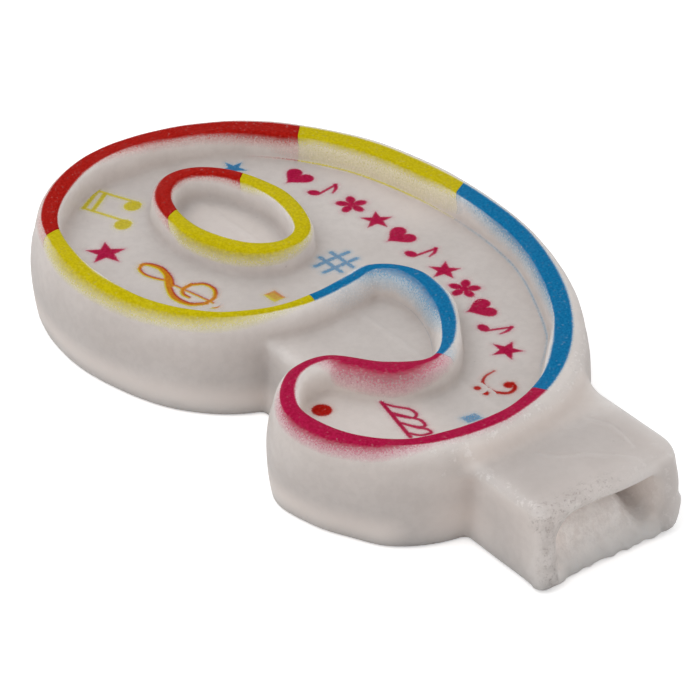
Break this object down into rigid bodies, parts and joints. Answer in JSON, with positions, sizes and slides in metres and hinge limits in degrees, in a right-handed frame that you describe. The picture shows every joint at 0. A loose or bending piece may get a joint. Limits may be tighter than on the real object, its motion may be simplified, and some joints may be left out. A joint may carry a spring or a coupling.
{
  "type": "number candle",
  "caption": "Cast wax numeral nine with raised printed ribs, printed party motifs on its recessed floor, a wick, and a plinth with a socket for a holder.",
  "frame": {"origin": "on the flat back, under the middle of the numeral (mount back_face)", "axes": "+X to the numeral's right, +Y from the plinth to the numeral's top, +Z out of the printed front"},
  "size_m": [0.0462, 0.0839, 0.012],
  "materials": {
    "wax": "pale uncoloured paraffin wax, slightly see-through, satin from the mould",
    "cotton": "plaited cotton wick, waxed",
    "ink_red": "thin matt ink",
    "ink_yellow": "thin matt ink",
    "ink_blue": "thin matt ink",
    "ink_magenta": "thin matt ink",
    "ink_orange": "thin matt ink"
  },
  "bodies": {
    "root": {"wax_body": "wax", "wick": "cotton", "rim_print_red": "ink_red", "rim_print_yellow_right": "ink_yellow", "rim_print_blue_right": "ink_blue", "rim_print_magenta": "ink_magenta", "rim_print_blue_notch": "ink_blue", "rim_print_yellow_left": "ink_yellow", "counter_print_red": "ink_red", "counter_print_yellow": "ink_yellow", "beamed_notes": "ink_yellow", "star": "ink_magenta", "treble_clef": "ink_orange", "clef_dot": "ink_orange", "confetti_orange": "ink_orange", "confetti_blue": "ink_blue", "sharp_sign": "ink_blue", "small_star": "ink_blue", "bass_clef": "ink_red", "bass_clef_dot_upper": "ink_red", "bass_clef_dot_lower": "ink_red", "confetti_dot": "ink_red", "party_hat": "ink_magenta", "figure_heart_1": "ink_magenta", "figure_note_1": "ink_magenta", "figure_flower_1": "ink_magenta", "figure_star_1": "ink_magenta", "figure_heart_2": "ink_magenta", "figure_note_2": "ink_magenta", "figure_star_2": "ink_magenta", "figure_flower_2": "ink_magenta", "figure_heart_3": "ink_magenta", "figure_note_3": "ink_magenta", "figure_star_3": "ink_magenta"}
  },
  "joints": []
}
